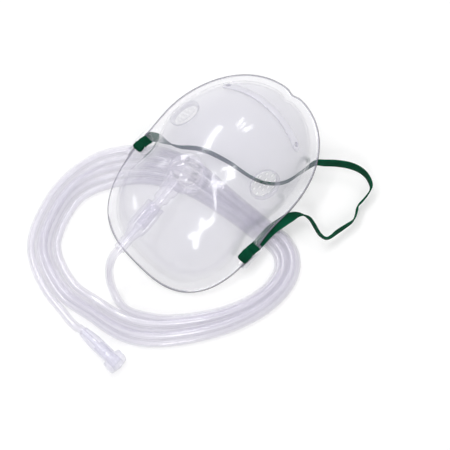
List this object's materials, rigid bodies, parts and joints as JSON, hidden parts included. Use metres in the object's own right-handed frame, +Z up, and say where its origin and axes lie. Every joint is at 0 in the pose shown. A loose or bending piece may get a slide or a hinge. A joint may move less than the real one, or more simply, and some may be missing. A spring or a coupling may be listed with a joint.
{
  "type": "oxygen face mask",
  "caption": "Clear soft vinyl oxygen face mask with a green elastic head strap, nose clip, inlet elbow and a coiled clear supply tube.",
  "frame": {"origin": "on the floor, under the middle of the box round the mask and its strap, the tube and its cuffs left out", "axes": "+Z up from the floor, +Y from the mask's chin end to its nose end, +X to the mask's right seen from above"},
  "size_m": [0.1503, 0.1941, 0.0718],
  "materials": {
    "shell_vinyl": "clear soft vinyl, glossy",
    "clip_metal": "soft bare strip, satin",
    "elbow_styrene": "clear rigid moulding, glossy",
    "tube_vinyl": "clear soft vinyl, faint lilac",
    "green_elastic": "woven elastic, matt dark green"
  },
  "bodies": {
    "root": {"mask_shell": "shell_vinyl", "nose_clip": "clip_metal", "inlet_elbow": "elbow_styrene", "mask_end_cuff": "tube_vinyl", "supply_tube_lead": "tube_vinyl", "supply_tube_coil": "tube_vinyl", "supply_tube_tail": "tube_vinyl", "far_end_cuff": "tube_vinyl", "head_strap": "green_elastic"}
  },
  "joints": []
}
